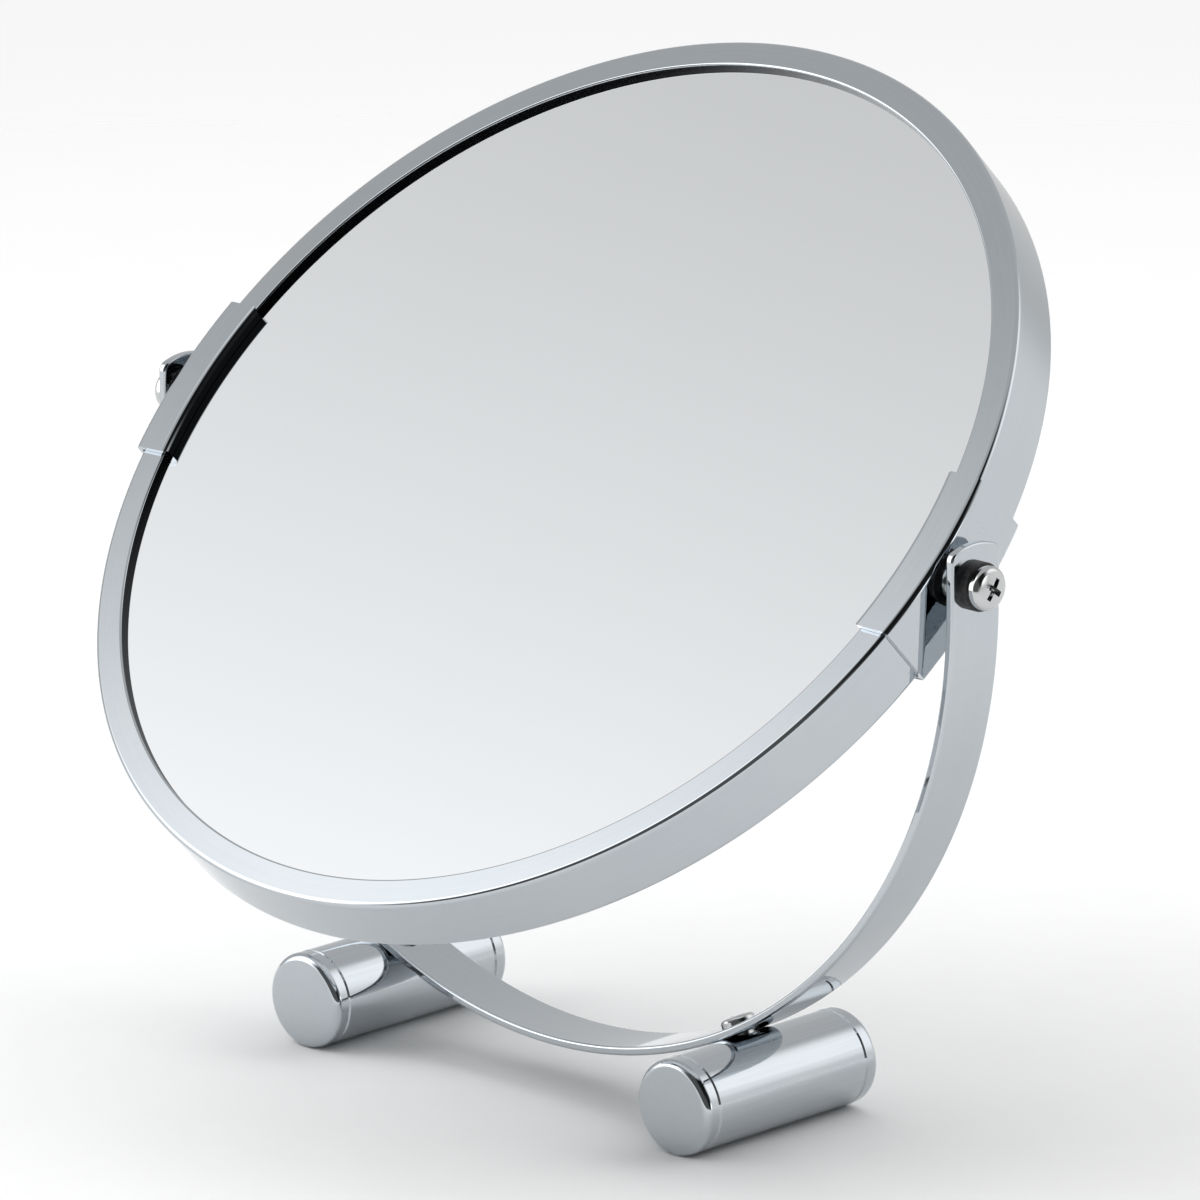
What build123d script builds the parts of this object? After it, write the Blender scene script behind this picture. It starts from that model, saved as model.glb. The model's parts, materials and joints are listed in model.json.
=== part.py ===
from build123d import *
import os
from math import cos, radians, sin, sqrt, tan

# Countertop mirror: a round two-sided mirror head that tilts and flips over on two
# pivot screws between the arms of a U-shaped strip, which stands on two round feet.
#
# Frame: millimetres, +Z up, +X to the right of someone who faces the mirror, and the
# front towards -Y. The origin is on the table, midway between the arms and the feet.

# Head, about its own centre: the radius lies in the disc, "out" is along its normal
head_radius = 85.0
head_thickness = 12.0
rest_tilt = 46.6                 # how far the front leans back from upright, degrees
rim_sheet = 0.8
rim_face_width = 5.0             # the ring that frames each glass
rim_face_draft = 2.5             # how far that ring slopes back towards its outer edge, degrees
rim_lip_depth = 1.3              # how far the hoop's inner edge turns in to meet the glass
rim_edge_rounding = 0.8
rim_lip_rounding = 0.35
hoop_joint_gap = 0.4             # where the rolled hoop's two ends meet
hoop_joint_offset = 8.0          # above the left pivot, hidden by the clip

# Glasses and what lies between them
glass_radius = 81.8
glass_thickness = 2.0
glass_edge_chamfer = 0.3
magnifier_sag = 3.0              # depth of the magnifying side's hollow
board_thickness = 0.8
board_radius = 81.0
spacer_inner_radius = 78.0
spacer_outer_radius = 81.2
spacer_seat = 2.38               # where the spacer meets the magnifying glass, below the middle

# Clips over the hoop at both pivots
clip_sheet = 0.9
clip_gap = 0.05
clip_length = 30.0
clip_bend_radius = 1.0
clip_corner_radius = 1.2
clip_hook_clearance = 0.1        # between the hooked edge and the glass

# Yoke strip, a U with straight arms
strip_width = 11.0
strip_thickness = 1.5
strip_edge_rounding = 0.45
yoke_outer_radius = 89.5
yoke_centre_drop = 3.5           # the bend's centre below the pivot
arm_crown = 6.9                  # the arm's rounded end above the pivot
arm_shoulder = 5.6               # where that end's crown would meet the sides
arm_corner_radius = 1.6

# Feet, round bars that lie front to back
foot_radius = 8.0
foot_length = 40.0
foot_angle = 25.6                # from straight down, about the bend's centre
foot_wall = 1.0
foot_cap_flange = 3.0
foot_cap_spigot = 4.0
foot_cap_rounding = 1.3
foot_joint_chamfer = 0.25        # on both sides of the line where a cap meets the tube
insert_length = 14.0
insert_hole_depth = 8.0
spigot_clearance = 0.05

# Screws, nuts and washers of size M4
screw_radius = 2.0
screw_tip_chamfer = 0.4
pivot_head_radius = 3.6
pivot_head_height = 2.35
foot_head_radius = 2.9
foot_head_height = 1.65
head_crown_share = 0.2           # how much of a head's height is its domed top
head_rounding_share = 0.45       # the rounding between top and side, of the height
recess_span = 4.3                # the pivot screws' size; the feet's are in proportion
recess_floor_span = 1.6
recess_width = 0.95
recess_depth = 1.7
recess_turn = 12.0
recess_overrun = 0.2             # the recess's tool starts this far above the head
pivot_screw_length = 8.9
foot_screw_length = 9.5
clearance_hole_radius = 2.2
arm_hole_radius = 2.06           # running fit on the pivot screw
thread_clearance = 0.03
nut_across_flats = 7.0
nut_thickness = 2.2
nut_seat = 84.08                 # the nut's outer face, just inside the hoop's wall
washer_radius = 3.95
washer_thickness = 1.4
friction_washer_radius = 4.4
friction_washer_thickness = 0.7
sleeve_radius = 3.5
washer_bore_radius = 2.1

# Worked out from the above
half_thickness = head_thickness / 2
rim_opening_radius = head_radius - rim_face_width
glass_face = half_thickness - rim_lip_depth
clip_outer_radius = head_radius + clip_gap + clip_sheet
yoke_inner_radius = yoke_outer_radius - strip_thickness
foot_centre_radius = yoke_outer_radius + foot_radius
foot_x = foot_centre_radius * sin(radians(foot_angle))
foot_drop = yoke_centre_drop + foot_centre_radius * cos(radians(foot_angle))
pivot_height = foot_drop + foot_radius
bend_centre_height = pivot_height - yoke_centre_drop
sleeve_length = yoke_inner_radius - friction_washer_thickness - clip_outer_radius
far = 300.0                      # longer than anything here, for cutting tools
tolerance = 0.01

head_place = Pos(0, 0, pivot_height) * Rot(90 - rest_tilt, 0, 0)
sides = {"left": -1, "right": 1}


def revolve_section(section):
    """A full turn about Z of a section drawn with X as the radius and Y as the height."""
    return revolve(Plane.XZ * section, Axis.Z)


def ring(outer_radius, inner_radius, low, high):
    """A flat ring about Z between two heights."""
    blank = Cylinder(outer_radius, high - low) - Cylinder(inner_radius, far)
    return Pos(0, 0, (low + high) / 2) * blank


def drafted_band(low_radius, high_radius, half_height):
    """The section between two radii: half_height high at the hoop's opening, lower outwards."""
    def height(radius):
        return half_height - (radius - rim_opening_radius) * tan(radians(rim_face_draft))
    low, high = height(low_radius), height(high_radius)
    return make_face(Polyline(
        (low_radius, -low), (high_radius, -high), (high_radius, high), (low_radius, low),
        close=True))


def along_x(side, seat):
    """Places a piece drawn along +Z so that it points away from the middle, along X."""
    return Pos(side * seat, 0, 0) * Rot(0, side * 90, 0)


# ---- Fasteners, drawn along +Z with their seat at the origin ----

def cross_recess():
    """The tapered cross that a screwdriver fits, its mouth level with the head's top."""
    wing_outline = Polyline(
        (-recess_span / 2, recess_overrun), (recess_span / 2, recess_overrun),
        (recess_floor_span / 2, -recess_depth), (-recess_floor_span / 2, -recess_depth),
        close=True)
    wing = extrude(Plane.XZ * make_face(wing_outline), recess_width / 2, both=True)
    return Rot(0, 0, recess_turn) * (wing + Rot(0, 0, 90) * wing)


def pan_head_screw(length, head_radius, head_height):
    """A pan head screw: the head stands on the seat and the shank goes down."""
    dome = head_height * head_crown_share
    brim = head_height - dome
    crown = ThreePointArc(
        (head_radius, brim), (head_radius / 2, head_height - dome / 4), (0, head_height))
    sides_and_base = Polyline((0, head_height), (0, 0), (head_radius, 0), (head_radius, brim))
    section = make_face([crown, sides_and_base])
    shoulder = section.vertices().sort_by_distance((head_radius, brim))[0]
    head = revolve_section(fillet(shoulder, head_height * head_rounding_share))
    recess = scale(cross_recess(), by=head_radius / pivot_head_radius)
    head -= Pos(0, 0, head_height) * recess
    shank = Pos(0, 0, -length / 2) * Cylinder(screw_radius, length)
    shank = chamfer(shank.edges().sort_by(Axis.Z)[0], screw_tip_chamfer)
    return head + shank


def washer(outer_radius, thickness):
    """A flat washer that stands on the seat."""
    return ring(outer_radius, washer_bore_radius, 0, thickness)


def thin_nut():
    """A thin hexagon nut, just below its seat."""
    blank = extrude(RegularPolygon(nut_across_flats / 2, 6, major_radius=False), -nut_thickness)
    return blank - Cylinder(screw_radius + thread_clearance, far)


# ---- Head, drawn flat about its own centre and tilted at the end ----

def rim_hoop():
    """The rolled channel that holds both glasses: a side band, two faces, two turned-in lips."""
    section = drafted_band(rim_opening_radius, head_radius, half_thickness)
    outer_corners = section.vertices().group_by(Axis.X)[-1]
    section = fillet(outer_corners, rim_edge_rounding)
    lip_corners = section.vertices().group_by(Axis.X)[0]
    section = fillet(lip_corners, rim_lip_rounding)
    section -= drafted_band(
        rim_opening_radius + rim_sheet, head_radius - rim_sheet, half_thickness - rim_sheet)
    section -= Pos(rim_opening_radius, 0) * Rectangle(2 * rim_sheet, 2 * glass_face)
    hoop = revolve_section(section)
    hoop -= Rot(0, 90, 0) * Cylinder(clearance_hole_radius, far)
    joint = Pos(-head_radius, hoop_joint_offset, 0) * Box(head_radius, hoop_joint_gap, far)
    return hoop - joint


def front_glass():
    """The plain glass, with its edge seamed."""
    disc = Pos(0, 0, glass_face - glass_thickness / 2) * Cylinder(glass_radius, glass_thickness)
    return chamfer(disc.edges(), glass_edge_chamfer)


def rear_glass():
    """The magnifying glass: an even shell whose hollow side faces out at the back."""
    def face_arc(centre_height, edge_height):
        middle = centre_height + (edge_height - centre_height) / 4
        return ThreePointArc((0, centre_height), (glass_radius / 2, middle), (glass_radius, edge_height))
    hollow_centre = -glass_face + magnifier_sag
    hollow = face_arc(hollow_centre, -glass_face)
    back = face_arc(hollow_centre + glass_thickness, -glass_face + glass_thickness)
    edge = Line(hollow @ 1, back @ 1)
    axis_line = Line(hollow @ 0, back @ 0)
    return revolve_section(make_face([hollow, edge, back, axis_line]))


def backing_board():
    """The thin board that protects the plain glass's silvering."""
    top = glass_face - glass_thickness
    return Pos(0, 0, top - board_thickness / 2) * Cylinder(board_radius, board_thickness)


def glass_spacer_ring():
    """The ring that presses both glasses outwards against the lips."""
    top = glass_face - glass_thickness - board_thickness
    return ring(spacer_outer_radius, spacer_inner_radius, -spacer_seat, top)


def clip(side):
    """A sheet clip bent round the hoop: side wall, a face over each rim, hooked inner edges."""
    hook_inner = rim_opening_radius - clip_gap - clip_sheet
    hook_outer = rim_opening_radius - clip_gap
    section = drafted_band(hook_inner, clip_outer_radius, half_thickness + clip_gap + clip_sheet)
    section = fillet(section.vertices(), clip_bend_radius)
    section -= drafted_band(hook_outer, head_radius + clip_gap, half_thickness + clip_gap)
    section -= Pos(hook_inner, 0) * Rectangle(
        4 * clip_sheet, 2 * (glass_face + clip_hook_clearance))
    band = revolve_section(section)
    # The blank's outline seen from the front: straight ends with rounded corners
    inner_x = sqrt(hook_inner ** 2 - (clip_length / 2) ** 2)
    outline = Pos(side * (inner_x + far / 2), 0) * RectangleRounded(
        far, clip_length, clip_corner_radius)
    blank = extrude(outline, head_thickness, both=True)
    return (band & blank) - Rot(0, 90, 0) * Cylinder(clearance_hole_radius, far)


def head_parts():
    """Every piece that tilts with the head, by name, drawn flat."""
    parts = {
        "rim_hoop": rim_hoop(),
        "front_glass": front_glass(),
        "rear_glass": rear_glass(),
        "backing_board": backing_board(),
        "glass_spacer_ring": glass_spacer_ring(),
    }
    friction_seat = clip_outer_radius + sleeve_length
    for name, side in sides.items():
        sleeve = washer(sleeve_radius, sleeve_length)
        friction_washer = washer(friction_washer_radius, friction_washer_thickness)
        pivot_screw = pan_head_screw(pivot_screw_length, pivot_head_radius, pivot_head_height)
        parts[f"{name}_clip"] = clip(side)
        parts[f"{name}_pivot_nut"] = along_x(side, nut_seat) * thin_nut()
        parts[f"{name}_pivot_sleeve"] = along_x(side, clip_outer_radius) * sleeve
        parts[f"{name}_friction_washer"] = along_x(side, friction_seat) * friction_washer
        parts[f"{name}_pivot_washer"] = (
            along_x(side, yoke_outer_radius) * washer(washer_radius, washer_thickness))
        parts[f"{name}_pivot_screw"] = (
            along_x(side, yoke_outer_radius + washer_thickness) * pivot_screw)
    return parts


# ---- Stand, drawn about the bend's centre and lifted at the end ----

def foot_frame(side):
    """The foot screw's axis: origin at the bend's centre, +Z towards that centre from the foot."""
    return Rot(0, -side * foot_angle, 0)


def arm_end_cut():
    """What is cut off above an arm's rounded end, drawn about the pivot."""
    half = strip_width / 2
    crown = ThreePointArc((-half, arm_shoulder), (0, arm_crown), (half, arm_shoulder))
    lower = Polyline((half, arm_shoulder), (half, 0), (-half, 0), (-half, arm_shoulder))
    end_face = make_face([crown, lower])
    corners = end_face.vertices().group_by(Axis.Y)[-1]
    end_face = fillet(corners, arm_corner_radius)
    above = Pos(0, far / 2) * Rectangle(far, far)
    return extrude(Plane.YZ * (above - end_face), far, both=True)


def yoke_strip():
    """The flat strip bent to a U, with rounded edges and ends and four holes."""
    arm_length = yoke_centre_drop + 2 * arm_crown
    arm_offset = (yoke_outer_radius + yoke_inner_radius) / 2
    outline = Circle(yoke_outer_radius) - Circle(yoke_inner_radius)
    outline -= Pos(0, far / 2) * Rectangle(far, far)
    for side in sides.values():
        outline += Pos(side * arm_offset, arm_length / 2) * Rectangle(strip_thickness, arm_length)
    strip = extrude(Plane.XZ * outline, strip_width / 2, both=True)
    strip -= Pos(0, 0, yoke_centre_drop) * arm_end_cut()

    def is_rim(edge):
        """Whether the edge runs along the strip or round its end, not across it."""
        return all(abs(edge.length - size) > tolerance for size in (strip_thickness, strip_width))
    strip = fillet(strip.edges().filter_by(is_rim), strip_edge_rounding)
    strip -= Pos(0, 0, yoke_centre_drop) * Rot(0, 90, 0) * Cylinder(arm_hole_radius, far)
    for side in sides.values():
        drill = Pos(0, 0, -yoke_outer_radius) * Cylinder(clearance_hole_radius, 4 * strip_thickness)
        strip -= foot_frame(side) * drill
    return strip


def foot_tube(side):
    """The foot's plain tube, with the screw's hole on its top."""
    length = foot_length - 2 * foot_cap_flange
    bar = Cylinder(foot_radius, length)
    bar = chamfer(bar.edges().filter_by(GeomType.CIRCLE), foot_joint_chamfer)
    tube = Rot(90, 0, 0) * (bar - Cylinder(foot_radius - foot_wall, length))
    hole = Pos(0, 0, foot_radius) * Cylinder(clearance_hole_radius, 4 * foot_wall)
    return foot_frame(side) * Pos(0, 0, -foot_centre_radius) * (tube - hole)


def foot_insert(side):
    """The threaded slug inside the tube."""
    slug = Rot(90, 0, 0) * Cylinder(foot_radius - foot_wall - spigot_clearance, insert_length)
    thread = Pos(0, 0, foot_radius - foot_wall - insert_hole_depth / 2) * Cylinder(
        screw_radius + thread_clearance, insert_hole_depth)
    return foot_frame(side) * Pos(0, 0, -foot_centre_radius) * (slug - thread)


def foot_cap(side, facing):
    """A plug cap: a rounded disc flush with the tube and a spigot inside it."""
    flange = Cylinder(foot_radius, foot_cap_flange)
    flange = Pos(0, 0, foot_cap_flange / 2) * flange
    flange = chamfer(flange.edges().sort_by(Axis.Z)[0], foot_joint_chamfer)
    flange = fillet(flange.edges().sort_by(Axis.Z)[-1], foot_cap_rounding)
    spigot = Pos(0, 0, -foot_cap_spigot / 2) * Cylinder(
        foot_radius - foot_wall - spigot_clearance, foot_cap_spigot)
    seat = foot_length / 2 - foot_cap_flange
    upright = Rot(-90 * facing, 0, 0) * (flange + spigot)
    return foot_frame(side) * Pos(0, facing * seat, -foot_centre_radius) * upright


def foot_screw(side):
    """The screw on the strip's inner face, its flat head resting on the curve at two edges."""
    seat = sqrt(yoke_inner_radius ** 2 - foot_head_radius ** 2)
    screw = pan_head_screw(foot_screw_length, foot_head_radius, foot_head_height)
    return foot_frame(side) * Pos(0, 0, -seat) * screw


def stand_parts():
    """Every piece that stays on the table, by name, drawn about the bend's centre."""
    parts = {"yoke_strip": yoke_strip()}
    for name, side in sides.items():
        parts[f"{name}_foot_tube"] = foot_tube(side)
        parts[f"{name}_foot_front_cap"] = foot_cap(side, -1)
        parts[f"{name}_foot_rear_cap"] = foot_cap(side, 1)
        parts[f"{name}_foot_insert"] = foot_insert(side)
        parts[f"{name}_foot_screw"] = foot_screw(side)
    return parts


os.makedirs("parts", exist_ok=True)
print("pivot height", round(pivot_height, 3), "foot x", round(foot_x, 3))
for node, shape in stand_parts().items():
    export_step(Pos(0, 0, bend_centre_height) * shape, f"parts/{node}.step")
for node, shape in head_parts().items():
    export_step(head_place * shape, f"parts/{node}.step")
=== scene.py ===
import json
import math

import bpy
from mathutils import Matrix, Vector, geometry, kdtree


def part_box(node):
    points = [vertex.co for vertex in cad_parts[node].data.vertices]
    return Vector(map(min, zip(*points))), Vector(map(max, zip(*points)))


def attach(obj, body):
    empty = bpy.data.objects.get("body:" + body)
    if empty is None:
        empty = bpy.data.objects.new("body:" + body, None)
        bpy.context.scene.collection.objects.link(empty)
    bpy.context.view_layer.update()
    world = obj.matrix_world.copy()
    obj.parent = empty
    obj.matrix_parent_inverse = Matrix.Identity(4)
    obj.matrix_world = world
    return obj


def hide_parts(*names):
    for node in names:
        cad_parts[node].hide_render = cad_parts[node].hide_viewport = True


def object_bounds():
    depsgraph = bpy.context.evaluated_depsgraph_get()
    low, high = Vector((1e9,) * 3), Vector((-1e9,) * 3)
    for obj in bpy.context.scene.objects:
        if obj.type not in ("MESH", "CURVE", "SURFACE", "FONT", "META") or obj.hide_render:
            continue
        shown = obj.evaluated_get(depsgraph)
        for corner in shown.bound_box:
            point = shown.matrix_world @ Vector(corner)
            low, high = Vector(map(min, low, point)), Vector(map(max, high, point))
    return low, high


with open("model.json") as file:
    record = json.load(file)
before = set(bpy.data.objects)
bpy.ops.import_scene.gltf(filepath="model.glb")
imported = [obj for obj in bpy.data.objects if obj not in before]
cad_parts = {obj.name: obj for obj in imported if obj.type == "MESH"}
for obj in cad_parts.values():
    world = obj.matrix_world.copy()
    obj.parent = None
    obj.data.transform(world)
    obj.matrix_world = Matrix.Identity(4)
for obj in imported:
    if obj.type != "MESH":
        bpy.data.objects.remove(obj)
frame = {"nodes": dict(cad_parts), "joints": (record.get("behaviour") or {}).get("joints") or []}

# The looks of a countertop mirror: a round chromed head between the arms of a bent strip.
# Lengths are metres and angles degrees. +Z is up and the front faces -Y.

NODES = frame["nodes"]
CAD_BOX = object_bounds()

# Places, from the frame
PIVOT = Vector(frame["joints"][0]["pos_m"])
GLASS_FACE = max(NODES["front_glass"].data.polygons, key=lambda face: face.area * face.normal.z)
HEAD_AXIS = GLASS_FACE.normal.copy()
HEAD_LEAN = math.atan2(-HEAD_AXIS.y, HEAD_AXIS.z)
GLASS_LEVEL = (GLASS_FACE.center - PIVOT).dot(HEAD_AXIS)
HEAD_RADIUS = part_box("rim_hoop")[1].x
STRIP_LOW, STRIP_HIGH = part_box("yoke_strip")
STRIP_HALF_WIDTH = STRIP_HIGH.y
YOKE_RADIUS = STRIP_HIGH.x
YOKE_CENTRE = STRIP_LOW.z + YOKE_RADIUS
BEND_HALF_LENGTH = YOKE_RADIUS * math.pi / 2
ARM_CROWN = STRIP_HIGH.z - PIVOT.z

# Sheet metal of the head: the hoop, and the clips over it
RIM_FACE_WIDTH = 0.005
RIM_OPENING = HEAD_RADIUS - RIM_FACE_WIDTH
RIM_HALF_HEIGHT = 0.006
RIM_DRAFT = math.radians(2.5)
RIM_SHEET = 0.0008
RIM_ROUNDING = 0.0008
LIP_ROUNDING = 0.00035
LIP_WALL_TOP = RIM_HALF_HEIGHT - LIP_ROUNDING
HOOP_JOINT_GAP = 0.0004
HOOP_JOINT_OFFSET = 0.008
CLIP_SHEET = 0.0009
CLIP_GAP = 0.00005
CLIP_BEND = 0.001
CLIP_HALF_LENGTH = 0.015
CLIP_CORNER = 0.0012
CLIP_SLOT_CLEARANCE = 0.0001
CLIP_SLOT = GLASS_LEVEL + CLIP_SLOT_CLEARANCE

# The magnifying glass
GLASS_RADIUS = 0.0818
GLASS_THICKNESS = 0.002
MAGNIFIER_SAG = 0.003

# The strip, its holes and the feet
STRIP_THICKNESS = 0.0015
STRIP_ROUNDING = 0.00045
ARM_SHOULDER = 0.0056
ARM_CORNER = 0.0016
CLEARANCE_HOLE = 0.0022
ARM_HOLE = 0.00206
HOLE_MARGIN = 0.003
HOLE_REACH = 0.0045
FOOT_WALL = 0.001
SPIGOT_CLEARANCE = 0.00005
CAP_SPIGOT = 0.004
CAP_FLANGE = 0.003
CAP_ROUNDING = 0.0013
CAP_CHAMFER = 0.00025

# How finely the skins are divided
HOOP_STEPS = 360
GLASS_RINGS = 24
CLIP_STEPS = 40
CAP_STEPS = 96
BEND_STEPS = 90
TIP_STEPS = 10
ARC_STEPS = 8
HOLE_STEPS = 32
SAME_PLACE = 2e-7

# Camera
CAMERA_AZIMUTH = 44.42
CAMERA_ELEVATION = 15.36
CAMERA_ROLL = -0.36
CAMERA_DISTANCE = 1.965
CAMERA_RIGHT = 0.00527
CAMERA_UP = -0.01844
CAMERA_LENS = 365.9
SENSOR_WIDTH = 36.0

# Room
FLOOR_SIZE = 2.0
FLOOR_EVEN_RADIUS = 0.30
FLOOR_EDGE_RADIUS = 0.90
FLOOR_COLOUR = (0.88, 0.88, 0.88)
BACKDROP = 0.92
TOP_LIGHT_PLACE = (-0.4, -0.3, 2.5)
TOP_LIGHT_SIZE = 7.0
TOP_LIGHT_POWER = 102.0

# Colours of the metals, the glass, the nylon and the board, of the marks on them, and of the painted
# shade in the hoop's lips
CHROME = (0.515, 0.550, 0.580)
STEEL = (0.560, 0.570, 0.575)
ZINC = (0.520, 0.520, 0.500)
WORN_METAL = (0.60, 0.60, 0.58)
# Painted shade: near black, laid on the inner walls of the hoop's lips as the shadow in the gap by the
# glass
LIP_PAINTED_SHADE = (0.012, 0.013, 0.015)
SILVERED = (0.830, 0.850, 0.868)
GLASS_FILM = (0.80, 0.82, 0.83)
GLASS_DUST = (0.93, 0.93, 0.92)
NYLON_DARK = (0.012, 0.012, 0.013)
NYLON_LIGHT = (0.03, 0.03, 0.032)
BOARD_DARK = (0.20, 0.18, 0.155)
BOARD_LIGHT = (0.34, 0.315, 0.28)
BOARD_BLOTCH = (0.16, 0.145, 0.13)


# ---- Surfaces with true normals ----

class Skin:
    """A mesh in the making, with the true surface normal at each corner of each face."""

    def __init__(self):
        self.faces = []

    def face(self, corners, normals):
        self.faces.append((corners, normals))

    def welded(self):
        """The points without doubles, and which of them each corner of the faces is, in order."""
        corners = [corner for face_corners, _ in self.faces for corner in face_corners]
        near = kdtree.KDTree(len(corners))
        for i, corner in enumerate(corners):
            near.insert(corner, i)
        near.balance()
        points, numbers = [], {}
        for i, corner in enumerate(corners):
            if i not in numbers:
                for _, j, _ in near.find_range(corner, SAME_PLACE):
                    numbers.setdefault(j, len(points))
                points.append(corner)
        return points, [numbers[i] for i in range(len(corners))]

    def stand_for(self, node, body, material):
        """Makes the mesh a piece, shown in place of a CAD node. Faces turn the way of their normals."""
        points, numbers = self.welded()
        faces, normals = [], []
        first = 0
        for _, face_normals in self.faces:
            face = numbers[first:first + len(face_normals)]
            first += len(face_normals)
            kept = [i for i, number in enumerate(face) if number != face[i - 1]]
            if len(kept) < 3:
                continue
            face = [face[i] for i in kept]
            face_normals = [face_normals[i] for i in kept]
            way = sum(face_normals, Vector((0.0, 0.0, 0.0)))
            if geometry.normal([points[i] for i in face]).dot(way) < 0.0:
                face.reverse()
                face_normals.reverse()
            faces.append(face)
            normals.extend(face_normals)
        mesh = bpy.data.meshes.new(f"{node}_skin")
        mesh.from_pydata(points, [], faces)
        mesh.shade_smooth()
        mesh.normals_split_custom_set(normals)
        mesh.materials.append(material)
        piece = bpy.data.objects.new(f"{node}_skin", mesh)
        bpy.context.scene.collection.objects.link(piece)
        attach(piece, body)
        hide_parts(node)


def section_sides(corners):
    """The sides of a closed section, anticlockwise: (start, end, normal at start, normal at end).

    corners are (x, y, rounding). A rounded corner becomes an arc of short sides.
    """
    spots = [Vector((x, y)) for x, y, _ in corners]
    stops = []
    for i, (_, _, rounding) in enumerate(corners):
        before = (spots[i] - spots[i - 1]).normalized()
        after = (spots[(i + 1) % len(spots)] - spots[i]).normalized()
        first = Vector((before.y, -before.x))
        last = Vector((after.y, -after.x))
        if rounding == 0.0:
            stops.append([(spots[i], first), (spots[i], last)])
            continue
        turn = math.atan2(first.x * last.y - first.y * last.x, first.dot(last))
        centre = spots[i] - before * rounding * math.tan(turn / 2) - first * rounding
        arc = []
        for step in range(ARC_STEPS + 1):
            way = turn * step / ARC_STEPS
            normal = Vector((
                first.x * math.cos(way) - first.y * math.sin(way),
                first.x * math.sin(way) + first.y * math.cos(way)))
            arc.append((centre + normal * rounding, normal))
        stops.append(arc)
    sides = []
    for i, arc in enumerate(stops):
        for (start, start_normal), (end, end_normal) in zip(arc, arc[1:]):
            sides.append((start, end, start_normal, end_normal))
        start, normal = arc[-1]
        sides.append((start, stops[(i + 1) % len(stops)][0][0], normal, normal))
    return [side for side in sides if (side[1] - side[0]).length > SAME_PLACE]


def fill_round_hole(skin, loop, centre, radius, place, facing):
    """Fills a loop of flat spots round a hole with triangles, and returns the hole's spots."""
    def turn(spot):
        return math.atan2(spot.y - centre.y, spot.x - centre.x)
    hole = [
        centre + radius * Vector((math.cos(angle), math.sin(angle)))
        for angle in (2 * math.pi * (i + 0.5) / HOLE_STEPS - math.pi for i in range(HOLE_STEPS))]
    outer = sorted(loop, key=turn)
    outer_turns = [turn(spot) for spot in outer] + [turn(outer[0]) + 2 * math.pi]
    hole_turns = [turn(spot) for spot in hole] + [turn(hole[0]) + 2 * math.pi]
    i = j = 0
    while i < len(outer) or j < len(hole):
        spots = [outer[i % len(outer)], hole[j % len(hole)]]
        if j == len(hole) or (i < len(outer) and outer_turns[i + 1] < hole_turns[j + 1]):
            i += 1
            spots.append(outer[i % len(outer)])
        else:
            j += 1
            spots.append(hole[j % len(hole)])
        skin.face([place(spot) for spot in spots], [facing(spot) for spot in spots])
    return hole


def line_hole(skin, near, far, inward):
    """The wall of a hole, between its rims on two surfaces. inward faces its middle."""
    for i in range(len(near)):
        skin.face(
            [near[i - 1], near[i], far[i], far[i - 1]],
            [inward[i - 1], inward[i], inward[i], inward[i - 1]])


def turn_section(skin, sides, origin, axis, outward, angle, steps, hole_angles=()):
    """Turns a section about an axis: x is the radius and y is along the axis.

    outward(angle) is the way out from the axis, and angle(x, step) how far a step has turned.
    Round holes go through the walls that run along the axis, at the hole angles.
    """
    rims = {hole_angle: [] for hole_angle in hole_angles}
    for start, end, start_normal, end_normal in sides:
        is_wall = abs(start.x - end.x) < SAME_PLACE and abs(start.y - end.y) > 2 * HOLE_MARGIN
        turned = [angle(start.x, step) for step in range(steps + 1)]
        radius = start.x
        pierced = set()

        def place(spot):
            return origin + outward(spot.x / radius) * radius + axis * spot.y

        def facing(spot):
            return outward(spot.x / radius) * start_normal.x
        for hole_angle in hole_angles if is_wall else ():
            margin = HOLE_MARGIN / radius
            first = max(step for step in range(steps + 1) if turned[step] < hole_angle - margin)
            last = min(step for step in range(steps + 1) if turned[step] > hole_angle + margin)
            pierced.update(range(first, last))
            loop = [
                Vector((turned[step] * radius, y))
                for step in range(first, last + 1) for y in (start.y, end.y)]
            centre = Vector((hole_angle * radius, 0.0))
            spots = fill_round_hole(skin, loop, centre, CLEARANCE_HOLE, place, facing)
            rims[hole_angle].append([place(spot) for spot in spots])
        for step in range(steps):
            if step in pierced:
                continue
            corners = (
                (start, start_normal, step), (end, end_normal, step),
                (end, end_normal, step + 1), (start, start_normal, step + 1))
            ways = [outward(angle(spot.x, at)) for spot, _, at in corners]
            skin.face(
                [origin + way * spot.x + axis * spot.y for way, (spot, _, _) in zip(ways, corners)],
                [way * normal.x + axis * normal.y for way, (_, normal, _) in zip(ways, corners)])
    for hole_angle, (near, far) in rims.items():
        hole_axis = outward(hole_angle)
        middle = origin + hole_axis * HEAD_RADIUS
        inward = []
        for point in near:
            aside = middle - point
            inward.append((aside - hole_axis * aside.dot(hole_axis)).normalized())
        line_hole(skin, near, far, inward)


def close_ends(skin, sides, origin, axis, outward, angle, steps):
    """Closes a section that isn't turned all the way round."""
    for step, way in ((0, -1.0), (steps, 1.0)):
        loop = []
        for start, _, _, _ in sides:
            loop.append(origin + outward(angle(start.x, step)) * start.x + axis * start.y)
        facing = axis.cross(outward(angle(HEAD_RADIUS, step))) * way
        skin.face(loop, [facing] * len(loop))


def full_turn(steps):
    """The angle of each step of a section that is turned all the way round."""
    def angle(_, step):
        return 2 * math.pi * (step % steps) / steps
    return angle


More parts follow.
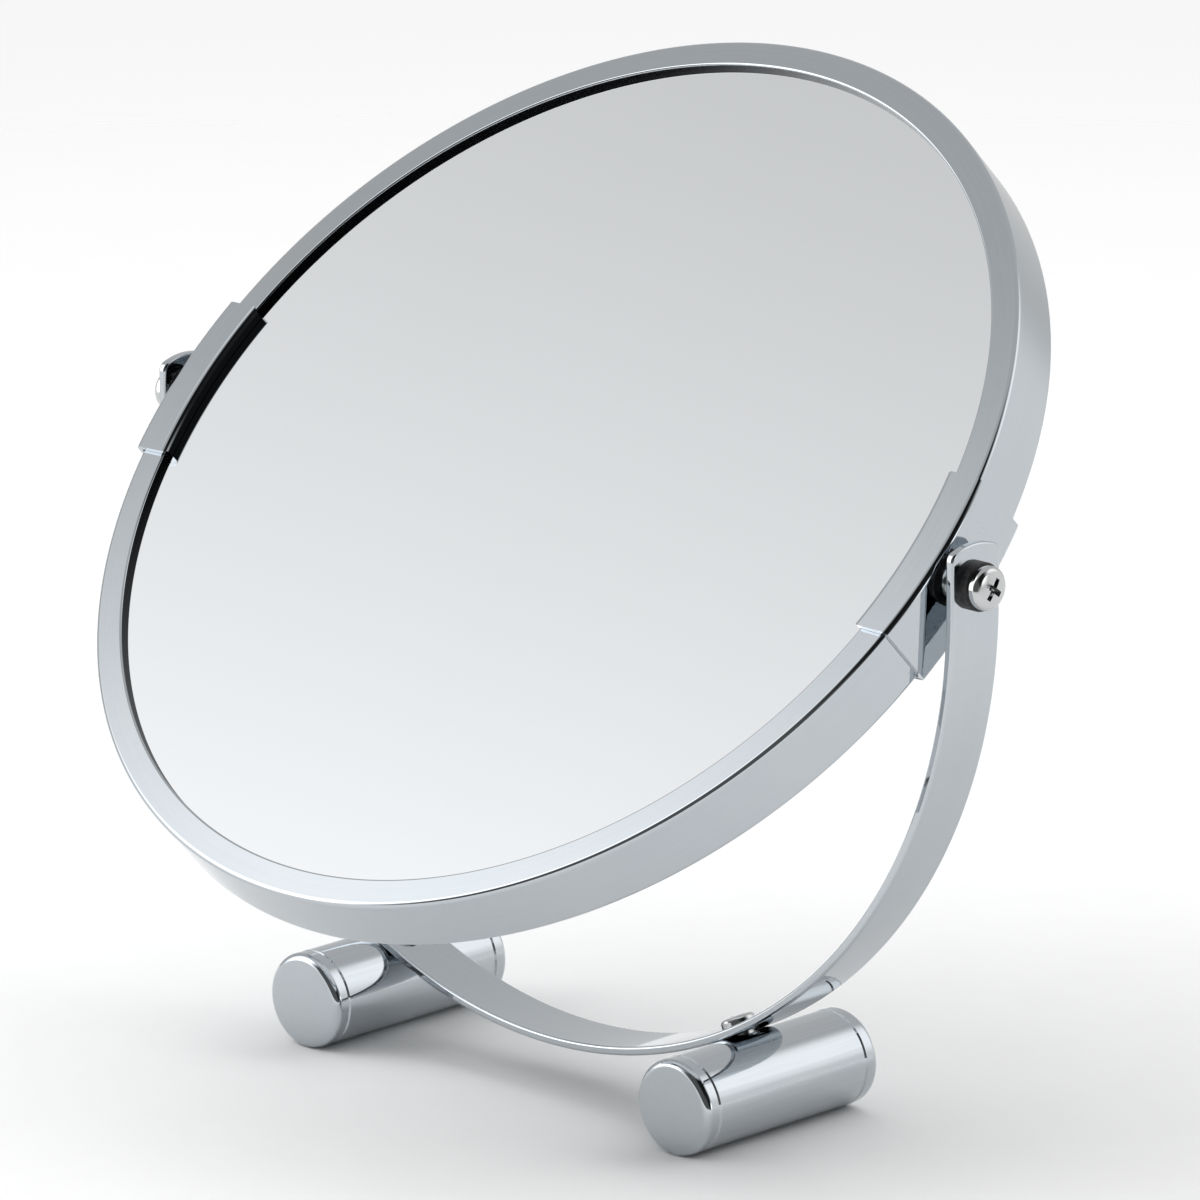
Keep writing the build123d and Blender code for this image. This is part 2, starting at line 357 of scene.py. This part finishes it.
def channel_section(low, high, half_height, sheet, slot, high_rounding, low_rounding):
    """The hoop's and the clips' section: a wall, two sloping faces and two turned-in edges."""
    def height(radius):
        return half_height - (radius - RIM_OPENING) * math.tan(RIM_DRAFT)
    upper = [
        (high, height(high), high_rounding),
        (low, height(low), low_rounding),
        (low, slot, 0.0),
        (low + sheet, slot, 0.0),
        (low + sheet, height(low + sheet) - sheet, 0.0),
        (high - sheet, height(high - sheet) - sheet, 0.0)]
    lower = [(x, -y, rounding) for x, y, rounding in reversed(upper)]
    return section_sides(upper + lower)


def round_head(angle):
    """The way out from the head's middle at an angle from +X, up its face."""
    return Vector((
        math.cos(angle), math.sin(angle) * math.cos(HEAD_LEAN), math.sin(angle) * math.sin(HEAD_LEAN)))


def make_hoop(material):
    """The rolled hoop, open at the joint that the left clip hides."""
    sides = channel_section(
        RIM_OPENING, HEAD_RADIUS, RIM_HALF_HEIGHT, RIM_SHEET, GLASS_LEVEL, RIM_ROUNDING, LIP_ROUNDING)
    joint_low = math.asin((HOOP_JOINT_OFFSET - HOOP_JOINT_GAP / 2) / HEAD_RADIUS)
    joint_high = math.asin((HOOP_JOINT_OFFSET + HOOP_JOINT_GAP / 2) / HEAD_RADIUS)
    start, end = -math.pi - joint_low, math.pi - joint_high

    def angle(_, step):
        return start + (end - start) * step / HOOP_STEPS
    skin = Skin()
    turn_section(
        skin, sides, PIVOT, HEAD_AXIS, round_head, angle, HOOP_STEPS, hole_angles=(-math.pi, 0.0))
    close_ends(skin, sides, PIVOT, HEAD_AXIS, round_head, angle, HOOP_STEPS)
    skin.stand_for("rim_hoop", "head", material)


def clip_reach(radius, low):
    """The angle that a clip covers each way at a radius: straight ends, rounded inner corners."""
    corner_x = math.sqrt(low ** 2 - CLIP_HALF_LENGTH ** 2) + CLIP_CORNER
    corner_y = CLIP_HALF_LENGTH - CLIP_CORNER
    inside, outside = 0.0, math.asin(CLIP_HALF_LENGTH / radius)
    tried = outside
    while outside - inside > SAME_PLACE:
        x, y = radius * math.cos(tried), radius * math.sin(tried)
        if x < corner_x and y > corner_y and math.hypot(x - corner_x, y - corner_y) > CLIP_CORNER:
            outside = tried
        else:
            inside = tried
        tried = (inside + outside) / 2
    return tried


def make_clip(side, way, material):
    """A sheet clip bent round the hoop over a pivot, hooked over both of its inner edges."""
    low = RIM_OPENING - CLIP_GAP - CLIP_SHEET
    high = HEAD_RADIUS + CLIP_GAP + CLIP_SHEET
    sides = channel_section(
        low, high, RIM_HALF_HEIGHT + CLIP_GAP + CLIP_SHEET, CLIP_SHEET, CLIP_SLOT, CLIP_BEND, CLIP_BEND)
    reach = {}
    for start, _, _, _ in sides:
        reach[start.x] = clip_reach(start.x, low)
    reach[HEAD_RADIUS] = clip_reach(HEAD_RADIUS, low)
    middle = 0.0 if way > 0 else math.pi

    def angle(radius, step):
        return middle + reach[radius] * (2 * step / CLIP_STEPS - 1)
    skin = Skin()
    turn_section(
        skin, sides, PIVOT, HEAD_AXIS, round_head, angle, CLIP_STEPS, hole_angles=(middle,))
    close_ends(skin, sides, PIVOT, HEAD_AXIS, round_head, angle, CLIP_STEPS)
    skin.stand_for(f"{side}_clip", "head", material)


def make_rear_glass(material):
    """The magnifying glass: an even shell whose hollow side faces out at the back."""
    curve = (GLASS_RADIUS ** 2 + MAGNIFIER_SAG ** 2) / (2 * MAGNIFIER_SAG)
    levels = (-GLASS_LEVEL, GLASS_THICKNESS - GLASS_LEVEL)
    sides = []
    for level, way in zip(levels, (-1.0, 1.0)):
        spots, normals = [], []
        for ring in range(GLASS_RINGS + 1):
            radius = GLASS_RADIUS * ring / GLASS_RINGS
            rise = math.sqrt(curve ** 2 - radius ** 2)
            spots.append(Vector((radius, level + MAGNIFIER_SAG - curve + rise)))
            normals.append(Vector((radius, rise)) * way / curve)
        sides.extend(zip(spots, spots[1:], normals, normals[1:]))
    low, high = (Vector((GLASS_RADIUS, level)) for level in levels)
    outward = Vector((1.0, 0.0))
    sides.append((low, high, outward, outward))
    skin = Skin()
    turn_section(skin, sides, PIVOT, HEAD_AXIS, round_head, full_turn(HOOP_STEPS), HOOP_STEPS)
    skin.stand_for("rear_glass", "head", material)


def make_foot_cap(side, end, way, material):
    """A plug cap: a rounded disc flush with the foot's tube, and a spigot inside it."""
    low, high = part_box(f"{side}_foot_tube")
    radius = (high.x - low.x) / 2
    spigot = radius - FOOT_WALL - SPIGOT_CLEARANCE
    sides = section_sides([
        (0.0, -CAP_SPIGOT, 0.0), (spigot, -CAP_SPIGOT, 0.0), (spigot, 0.0, 0.0),
        (radius - CAP_CHAMFER, 0.0, 0.0), (radius, CAP_CHAMFER, 0.0),
        (radius, CAP_FLANGE, CAP_ROUNDING), (0.0, CAP_FLANGE, 0.0)])
    seat = Vector(((low.x + high.x) / 2, low.y if way < 0 else high.y, (low.z + high.z) / 2))

    def outward(angle):
        return Vector((math.cos(angle), 0.0, math.sin(angle)))
    skin = Skin()
    axis = Vector((0.0, way, 0.0))
    turn_section(skin, sides[:-1], seat, axis, outward, full_turn(CAP_STEPS), CAP_STEPS)
    skin.stand_for(f"{side}_foot_{end}_cap", "stand", material)


# The strip is drawn flat and then bent: s runs along it from the middle of the bend, w is
# across it, and t goes out through it from its inner face

def strip_lean(s):
    return max(-math.pi / 2, min(math.pi / 2, s / YOKE_RADIUS))


def on_strip(s, w, t):
    """A place on the bent strip."""
    reach = YOKE_RADIUS - STRIP_THICKNESS + t
    rise = max(0.0, abs(s) - BEND_HALF_LENGTH)
    lean = strip_lean(s)
    return Vector((math.sin(lean) * reach, w, YOKE_CENTRE - math.cos(lean) * reach + rise))


def strip_way(s, along, across, out):
    """A direction on the bent strip."""
    lean = strip_lean(s)
    return Vector((
        math.cos(lean) * along + math.sin(lean) * out, across,
        math.sin(lean) * along - math.cos(lean) * out))


def strip_rows():
    """The strip's outline at positive w, from one crowned tip to the other: (s, w, along, across).

    along and across are the outline's normal.
    """
    crown = ARM_CROWN - ARM_SHOULDER
    crown_radius = (STRIP_HALF_WIDTH ** 2 + crown ** 2) / (2 * crown)
    crown_s = BEND_HALF_LENGTH + STRIP_HIGH.z - YOKE_CENTRE - crown_radius
    corner_w = STRIP_HALF_WIDTH - ARM_CORNER
    corner_s = crown_s + math.sqrt((crown_radius - ARM_CORNER) ** 2 - corner_w ** 2)
    meeting = math.atan2(corner_s - crown_s, corner_w)
    half = [(BEND_HALF_LENGTH * i / BEND_STEPS, STRIP_HALF_WIDTH, 0.0) for i in range(BEND_STEPS + 1)]
    for i in range(TIP_STEPS + 1):
        turn = meeting * i / TIP_STEPS
        half.append((
            corner_s + ARM_CORNER * math.sin(turn), corner_w + ARM_CORNER * math.cos(turn), turn))
    for i in range(1, TIP_STEPS + 1):
        turn = meeting + (math.pi / 2 - meeting) * i / TIP_STEPS
        half.append((crown_s + crown_radius * math.sin(turn), crown_radius * math.cos(turn), turn))
    rows = [(s, w, math.sin(turn), math.cos(turn)) for s, w, turn in half]
    mirrored = [(-s, w, -along, across) for s, w, along, across in reversed(rows[1:])]
    return mirrored + rows


def strip_edge_line(outline, tilt, low_side):
    """A line round the strip's edge, where its normal has tilted out of the flat."""
    depth = STRIP_ROUNDING * (1 - math.cos(tilt))
    t = STRIP_ROUNDING * (1 + math.sin(tilt))
    if not low_side:
        t = STRIP_THICKNESS - STRIP_ROUNDING * (1 - math.sin(tilt))
    points = [
        on_strip(s - along * depth, w - across * depth, t) for s, w, along, across in outline]
    normals = [
        strip_way(s, along * math.cos(tilt), across * math.cos(tilt), math.sin(tilt))
        for s, _, along, across in outline]
    return points, normals


def make_strip_edge(skin, rows):
    """The strip's rounded edge, all the way round its outline."""
    outline = rows + [(s, -w, along, -across) for s, w, along, across in reversed(rows)]
    tilts = [math.pi / 2 * i / ARC_STEPS for i in range(ARC_STEPS + 1)]
    lines = [strip_edge_line(outline, tilt - math.pi / 2, True) for tilt in tilts]
    lines += [strip_edge_line(outline, tilt, False) for tilt in tilts]
    for (lower, lower_normals), (upper, upper_normals) in zip(lines, lines[1:]):
        for i in range(len(outline)):
            skin.face(
                [lower[i - 1], lower[i], upper[i], upper[i - 1]],
                [lower_normals[i - 1], lower_normals[i], upper_normals[i], upper_normals[i - 1]])


def strip_holes():
    """The strip's four holes: (place along the strip, radius, whether it is in an arm's end)."""
    foot_low, foot_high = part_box("right_foot_tube")
    foot_middle = (foot_low + foot_high) / 2
    foot_s = YOKE_RADIUS * math.atan2(foot_middle.x, YOKE_CENTRE - foot_middle.z)
    pivot_s = BEND_HALF_LENGTH + PIVOT.z - YOKE_CENTRE
    holes = []
    for way in (-1.0, 1.0):
        holes.append((way * foot_s, CLEARANCE_HOLE, False))
        holes.append((way * pivot_s, ARM_HOLE, True))
    return holes


def make_strip_faces(skin, rows):
    """The strip's inner and outer faces, with the walls of the holes between them."""
    flat_rows = [
        Vector((s - along * STRIP_ROUNDING, w - across * STRIP_ROUNDING))
        for s, w, along, across in rows]
    rims = {}
    for t, out in ((0.0, -1.0), (STRIP_THICKNESS, 1.0)):
        def place(spot):
            return on_strip(spot.x, spot.y, t)

        def facing(spot):
            return strip_way(spot.x, 0.0, 0.0, out)
        pierced = set()
        for hole_s, radius, in_arm_end in strip_holes():
            centre = Vector((hole_s, 0.0))
            way = math.copysign(1.0, hole_s)
            near = []
            for i, row in enumerate(flat_rows):
                in_arm = row.x * way > BEND_HALF_LENGTH - SAME_PLACE
                beside = abs(row.x - centre.x) < HOLE_REACH
                if in_arm if in_arm_end else beside:
                    near.append(i)
            pierced.update(near[:-1])
            loop = [flat_rows[i] for i in near]
            loop += [Vector((spot.x, -spot.y)) for spot in loop if spot.y > SAME_PLACE]
            spots = fill_round_hole(skin, loop, centre, radius, place, facing)
            rim = [place(spot) for spot in spots]
            if t == 0.0:
                rims[hole_s] = rim
                continue
            inward = []
            for spot in spots:
                aside = (centre - spot).normalized()
                inward.append(strip_way(centre.x, aside.x, aside.y, 0.0))
            line_hole(skin, rims[hole_s], rim, inward)
        for i in range(len(flat_rows) - 1):
            if i in pierced:
                continue
            first, second = flat_rows[i], flat_rows[i + 1]
            spots = [
                first, second, Vector((second.x, -second.y)), Vector((first.x, -first.y))]
            skin.face([place(spot) for spot in spots], [facing(spot) for spot in spots])


def make_strip(material):
    """The strip bent to a U, with rounded edges, crowned tips and its four holes."""
    rows = strip_rows()
    skin = Skin()
    make_strip_edge(skin, rows)
    make_strip_faces(skin, rows)
    skin.stand_for("yoke_strip", "stand", material)


# ---- Node trees ----

class Tree:
    """Builds a node tree, one node at a time. A value may be a number, a tuple or a socket."""

    def __init__(self, node_tree):
        self.tree = node_tree
        self.tree.nodes.clear()

    def add(self, kind, values=None, **settings):
        node = self.tree.nodes.new(kind)
        for name, setting in settings.items():
            setattr(node, name, setting)
        for key, value in (values or {}).items():
            self.give(node.inputs[key], value)
        return node

    def give(self, socket, value):
        if isinstance(value, bpy.types.NodeSocket):
            self.tree.links.new(value, socket)
        elif hasattr(value, "__len__") and len(value) == 3 and socket.type == "RGBA":
            socket.default_value = (*value, 1.0)
        else:
            socket.default_value = value

    def math(self, operation, first, second=0.0, clamp=False):
        node = self.add("ShaderNodeMath", {0: first, 1: second}, operation=operation, use_clamp=clamp)
        return node.outputs[0]

    def vector_math(self, operation, first, second):
        node = self.add("ShaderNodeVectorMath", {0: first, 1: second}, operation=operation)
        return node.outputs["Value" if operation in ("DOT_PRODUCT", "LENGTH") else "Vector"]

    def ramp(self, value, low, high, at_low=0.0, at_high=1.0):
        """at_low up to low and at_high from high on, eased between them."""
        node = self.add(
            "ShaderNodeMapRange",
            {"Value": value, "From Min": low, "From Max": high, "To Min": at_low, "To Max": at_high},
            interpolation_type="SMOOTHSTEP")
        return node.outputs["Result"]

    def noise(self, coordinates, scale, detail=3.0, roughness=0.5):
        node = self.add(
            "ShaderNodeTexNoise",
            {"Vector": coordinates, "Scale": scale, "Detail": detail, "Roughness": roughness})
        return node.outputs["Fac"]

    def mix(self, factor, first, second):
        """A colour that goes from first to second with the factor."""
        node = self.add("ShaderNodeMix", {"Factor": factor}, data_type="RGBA")
        self.give(node.inputs[6], first)
        self.give(node.inputs[7], second)
        return node.outputs[2]

    def bump(self, height, distance, normal=None):
        """A normal raised by height times distance, on top of another if one is given."""
        values = {"Height": height, "Distance": distance, "Strength": 1.0}
        if normal is not None:
            values["Normal"] = normal
        return self.add("ShaderNodeBump", values).outputs["Normal"]

    def surface(self, values):
        """Ends a material with a principled shader that has these values."""
        shader = self.add("ShaderNodeBsdfPrincipled", values)
        self.add("ShaderNodeOutputMaterial", {"Surface": shader.outputs[0]})


def new_material(name):
    material = bpy.data.materials.new(name)
    material.use_nodes = True
    return material, Tree(material.node_tree)


def object_coordinates(tree):
    return tree.add("ShaderNodeTexCoord").outputs["Object"]


def head_coordinates(tree):
    """The place in the head's own flat frame: X across, Y up the face, Z out of the front."""
    node = tree.add(
        "ShaderNodeMapping",
        {"Vector": object_coordinates(tree), "Location": PIVOT, "Rotation": (HEAD_LEAN, 0.0, 0.0)},
        vector_type="TEXTURE")
    return node.outputs["Vector"]


def stretched(tree, coordinates, scale):
    return tree.vector_math("MULTIPLY", coordinates, scale)


def around_head(tree):
    """Head coordinates unrolled: distance from the axis, length along the rim, height."""
    parts = tree.add("ShaderNodeSeparateXYZ", {"Vector": head_coordinates(tree)})
    x, y, z = parts.outputs
    turn = tree.math("ARCTAN2", y, x)
    squares = tree.math("ADD", tree.math("MULTIPLY", x, x), tree.math("MULTIPLY", y, y))
    radius = tree.math("SQRT", squares)
    unrolled = tree.add(
        "ShaderNodeCombineXYZ", {"X": radius, "Y": tree.math("MULTIPLY", turn, HEAD_RADIUS), "Z": z})
    return unrolled.outputs["Vector"]


# ---- Materials ----

def lip_wall_shade(tree, place):
    """1 on the inner walls of the hoop's lips, where painted shade turns the metal near black and it is
    made dull, and 0 elsewhere.
    """
    parts = tree.add("ShaderNodeSeparateXYZ", {"Vector": place})
    radius, _, height = parts.outputs
    wall_end = LIP_WALL_TOP + LIP_ROUNDING / 2
    below = tree.ramp(tree.math("ABSOLUTE", height), LIP_WALL_TOP, wall_end, 1.0, 0.0)
    inner = tree.ramp(radius, RIM_OPENING + LIP_ROUNDING / 4, RIM_OPENING + LIP_ROUNDING, 1.0, 0.0)
    return tree.math("MULTIPLY", below, inner)


def plated_metal(
        name, colour, coordinates, grain, gloss, grain_depth, ripple_depth, tone=0.012, dark=None):
    """Polished plated metal: a faint grain one way, ripples, handling marks and fine scratches.

    coordinates makes the texture's space, and grain stretches it across the grain's lines.
    gloss is the roughness of the clean metal, and tone how far the grain varies its colour.
    dark makes a mask of where painted shade turns the metal near black and it is made dull.
    """
    material, tree = new_material(name)
    place = coordinates(tree)
    lines = tree.noise(stretched(tree, place, grain), 1.0, 4.0, 0.6)
    ripple = tree.noise(place, 140.0, 2.0, 0.4)
    film = tree.ramp(tree.noise(place, 45.0, 5.0, 0.62), 0.42, 0.72)
    specks = tree.ramp(tree.noise(place, 2600.0, 2.0, 0.5), 0.70, 0.78)
    scratch_wave = tree.noise(stretched(tree, place, (900.0, 60.0, 260.0)), 1.0, 2.0, 0.5)
    off_scratch = tree.math("ABSOLUTE", tree.math("SUBTRACT", scratch_wave, 0.5))
    scratches = tree.ramp(off_scratch, 0.0, 0.006, 1.0, 0.0)

    scratched = tree.math("MULTIPLY", scratches, 0.25)
    worn = tree.math("ADD", scratched, tree.math("MULTIPLY", film, 0.5), clamp=True)
    dulled = tuple(channel * (1.0 - tone) for channel in colour)
    lifted = tuple(min(1.0, channel * (1.0 + tone)) for channel in colour)
    tinted = tree.mix(tree.ramp(lines, 0.3, 0.7), dulled, lifted)
    tinted = tree.mix(tree.math("MULTIPLY", worn, 0.25), tinted, WORN_METAL)

    rough = tree.math("ADD", tree.math("MULTIPLY", film, gloss), gloss)
    rough = tree.math("ADD", rough, tree.math("MULTIPLY", tree.ramp(lines, 0.35, 0.75), gloss * 0.5))
    rough = tree.math("ADD", rough, tree.math("MULTIPLY", specks, 0.12))
    # Painted shade: the masked lip walls are mixed to near black as if in shadow, and made rougher
    if dark is not None:
        painted_shade = dark(tree, place)
        tinted = tree.mix(painted_shade, tinted, LIP_PAINTED_SHADE)
        rough = tree.math("ADD", rough, tree.math("MULTIPLY", painted_shade, 0.35))

    normal = tree.bump(ripple, ripple_depth)
    normal = tree.bump(lines, grain_depth, normal)
    normal = tree.bump(scratches, -1e-6, normal)
    tree.surface({"Base Color": tinted, "Metallic": 1.0, "Roughness": rough, "Normal": normal})
    return material


def silvered_glass(name):
    """Mirror glass: clean, with a thin film of handling marks and a little dust."""
    material, tree = new_material(name)
    place = head_coordinates(tree)
    film = tree.ramp(tree.noise(place, 22.0, 6.0, 0.65), 0.45, 0.75)
    dust = tree.ramp(tree.noise(place, 1900.0, 1.0, 0.5), 0.76, 0.80)
    tinted = tree.mix(tree.math("MULTIPLY", film, 0.18), SILVERED, GLASS_FILM)
    tinted = tree.mix(tree.math("MULTIPLY", dust, 0.12), tinted, GLASS_DUST)
    rough = tree.math("ADD", tree.math("MULTIPLY", film, 0.03), 0.008)
    rough = tree.math("ADD", rough, tree.math("MULTIPLY", dust, 0.10))
    normal = tree.bump(tree.noise(place, 30.0, 1.0, 0.4), 1.5e-6)
    tree.surface({"Base Color": tinted, "Metallic": 1.0, "Roughness": rough, "Normal": normal})
    return material


def moulded_plastic(name, dark, light):
    """Plain moulded plastic with a fine even texture."""
    material, tree = new_material(name)
    place = object_coordinates(tree)
    mottle = tree.noise(place, 900.0, 4.0, 0.6)
    tinted = tree.mix(tree.ramp(mottle, 0.35, 0.7), dark, light)
    rough = tree.ramp(tree.noise(place, 2400.0, 2.0, 0.5), 0.3, 0.7, 0.42, 0.6)
    normal = tree.bump(tree.noise(place, 5000.0, 2.0, 0.5), 8e-6)
    tree.surface({"Base Color": tinted, "Roughness": rough, "Normal": normal})
    return material


def fibre_board(name):
    """Grey board pressed from paper fibre."""
    material, tree = new_material(name)
    place = head_coordinates(tree)
    fibres = tree.noise(stretched(tree, place, (500.0, 2600.0, 2600.0)), 1.0, 5.0, 0.65)
    blotches = tree.noise(place, 60.0, 3.0, 0.5)
    tinted = tree.mix(tree.ramp(fibres, 0.3, 0.7), BOARD_DARK, BOARD_LIGHT)
    blotched = tree.math("MULTIPLY", tree.ramp(blotches, 0.4, 0.8), 0.3)
    tinted = tree.mix(blotched, tinted, BOARD_BLOTCH)
    rough = tree.ramp(fibres, 0.2, 0.8, 0.75, 0.95)
    normal = tree.bump(fibres, 3e-5)
    tree.surface({"Base Color": tinted, "Roughness": rough, "Normal": normal})
    return material


def paint(node_names, material):
    for name in node_names:
        slots = NODES[name].data.materials
        slots.clear()
        slots.append(material)


def on_both_sides(*endings):
    return [f"{side}_{ending}" for side in ("left", "right") for ending in endings]


# The hoop's lip walls get painted shade through the dark mask
hoop_chrome = plated_metal(
    "hoop_chrome", CHROME, around_head, (1800.0, 25.0, 1800.0), 0.015, 5e-8, 4e-6, dark=lip_wall_shade)
clip_chrome = plated_metal(
    "clip_chrome", CHROME, around_head, (1500.0, 90.0, 1500.0), 0.015, 5e-8, 3e-6)
strip_chrome = plated_metal(
    "strip_chrome", CHROME, object_coordinates, (30.0, 2200.0, 30.0), 0.015, 5e-8, 4e-6)
cap_chrome = plated_metal(
    "cap_chrome", CHROME, object_coordinates, (700.0, 700.0, 700.0), 0.03, 3e-7, 4e-6)
make_hoop(hoop_chrome)
make_strip(strip_chrome)
for side, side_way in (("left", -1.0), ("right", 1.0)):
    make_clip(side, side_way, clip_chrome)
    make_foot_cap(side, "front", -1.0, cap_chrome)
    make_foot_cap(side, "rear", 1.0, cap_chrome)
paint(on_both_sides("foot_tube"), plated_metal(
    "foot_chrome", CHROME, object_coordinates, (1900.0, 40.0, 1900.0), 0.05, 2e-7, 4e-6, 0.025))
paint(on_both_sides("pivot_screw", "foot_screw"), plated_metal(
    "screw_steel", STEEL, object_coordinates, (2500.0, 2500.0, 2500.0), 0.07, 2e-6, 8e-6))
paint(on_both_sides("pivot_nut", "pivot_sleeve", "foot_insert"), plated_metal(
    "zinc_steel", ZINC, object_coordinates, (1600.0, 1600.0, 1600.0), 0.10, 3e-6, 1e-5))
mirror_silver = silvered_glass("mirror_silver")
make_rear_glass(mirror_silver)
paint(["front_glass"], mirror_silver)
black_nylon = moulded_plastic("black_nylon", NYLON_DARK, NYLON_LIGHT)
paint(on_both_sides("pivot_washer", "friction_washer"), black_nylon)
paint(["glass_spacer_ring"], black_nylon)
paint(["backing_board"], fibre_board("grey_board"))


# ---- Room ----

def add_floor():
    """A pale matt floor that fades into the backdrop all round."""
    bpy.ops.mesh.primitive_plane_add(size=FLOOR_SIZE, location=(0.0, 0.0, CAD_BOX[0].z))
    floor = bpy.context.object
    floor.name = "floor"
    material, tree = new_material("floor_paper")
    place = object_coordinates(tree)
    tone = tree.ramp(tree.noise(place, 60.0, 4.0, 0.6), 0.3, 0.7)
    tinted = tree.mix(tone, tuple(0.99 * channel for channel in FLOOR_COLOUR), FLOOR_COLOUR)
    shader = tree.add(
        "ShaderNodeBsdfPrincipled",
        {"Base Color": tinted, "Roughness": 0.9, "Specular IOR Level": 0.0,
         "Normal": tree.bump(tree.noise(place, 1200.0, 3.0, 0.5), 1e-5)})
    distance = tree.vector_math("LENGTH", place, (0.0, 0.0, 0.0))
    faded = tree.ramp(distance, FLOOR_EVEN_RADIUS, FLOOR_EDGE_RADIUS)
    clear = tree.add("ShaderNodeBsdfTransparent")
    shown = tree.add("ShaderNodeMixShader", {0: faded, 1: shader.outputs[0], 2: clear.outputs[0]})
    tree.add("ShaderNodeOutputMaterial", {"Surface": shown.outputs[0]})
    floor.data.materials.append(material)


# What the metal sees round the room, each painted over the ones before: what it is, which way
# it lies, how far from there it is even and where it has faded out, and how bright it is
ROOM = [
    ("wall behind on the right", (0.45, 0.88, 0.08), 12.0, 40.0, 1.00),
    ("wall behind on the left", (-0.60, 0.78, 0.15), 15.0, 45.0, 0.68),
    ("ceiling behind", (-0.15, 0.60, 0.78), 10.0, 35.0, 0.65),
    ("soft box behind on the right", (0.51, 0.69, 0.51), 3.0, 28.0, 1.52),
    ("wall in front on the left, lit from below", (-0.553, -0.766, 0.330), 16.3, 43.7, 2.72),
    ("dark room behind the camera", (0.36, -0.92, 0.14), 42.0, 62.0, 0.12),
    ("dark ceiling on the right", (0.62, -0.25, 0.74), 18.0, 36.0, 0.01),
    ("dark wall on the right", (0.95, 0.00, 0.30), 14.0, 28.0, 0.02),
    ("window on the right", (0.90, 0.42, 0.03), 5.0, 12.0, 2.2),
]
ROOM_LEVEL = 0.62


def light_room():
    """Soft light from all round, and a very large light above that the metal doesn't show."""
    world = bpy.data.worlds.new("room")
    bpy.context.scene.world = world
    world.use_nodes = True
    tree = Tree(world.node_tree)
    direction = tree.add("ShaderNodeTexCoord").outputs["Generated"]
    level = (ROOM_LEVEL, ROOM_LEVEL, ROOM_LEVEL)
    for _, towards, even, faded, brightness in ROOM:
        facing = tree.vector_math("DOT_PRODUCT", direction, Vector(towards).normalized())
        mask = tree.ramp(facing, math.cos(math.radians(faded)), math.cos(math.radians(even)))
        level = tree.mix(mask, level, (brightness, brightness, brightness))
    seen = tree.add("ShaderNodeLightPath").outputs["Is Camera Ray"]
    level = tree.mix(seen, level, (BACKDROP, BACKDROP, BACKDROP))
    background = tree.add("ShaderNodeBackground", {"Color": level})
    tree.add("ShaderNodeOutputWorld", {"Surface": background.outputs[0]})

    light = bpy.data.lights.new("top_light", "AREA")
    light.shape = "DISK"
    light.size = TOP_LIGHT_SIZE
    light.energy = TOP_LIGHT_POWER
    top_light = bpy.data.objects.new("top_light", light)
    top_light.location = TOP_LIGHT_PLACE
    top_light.visible_glossy = False
    top_light.visible_camera = False
    bpy.context.scene.collection.objects.link(top_light)


def add_camera():
    """The camera, aimed at the pivot and shifted a little off it."""
    azimuth, elevation, roll = (
        math.radians(angle) for angle in (CAMERA_AZIMUTH, CAMERA_ELEVATION, CAMERA_ROLL))
    back = Vector((
        math.sin(azimuth) * math.cos(elevation),
        -math.cos(azimuth) * math.cos(elevation),
        math.sin(elevation)))
    level_right = Vector((math.cos(azimuth), math.sin(azimuth), 0.0))
    level_up = back.cross(level_right)
    right = level_right * math.cos(roll) + level_up * math.sin(roll)
    up = back.cross(right)
    camera = bpy.data.objects.new("camera", bpy.data.cameras.new("camera"))
    camera.data.lens = CAMERA_LENS
    camera.data.sensor_width = SENSOR_WIDTH
    camera.data.clip_end = 100.0
    turn = Matrix((right, up, back)).transposed().to_4x4()
    eye = PIVOT + back * CAMERA_DISTANCE + right * CAMERA_RIGHT + up * CAMERA_UP
    camera.matrix_world = Matrix.Translation(eye) @ turn
    bpy.context.scene.collection.objects.link(camera)
    bpy.context.scene.camera = camera


add_floor()
light_room()
add_camera()
bpy.context.scene.view_settings.view_transform = "Standard"
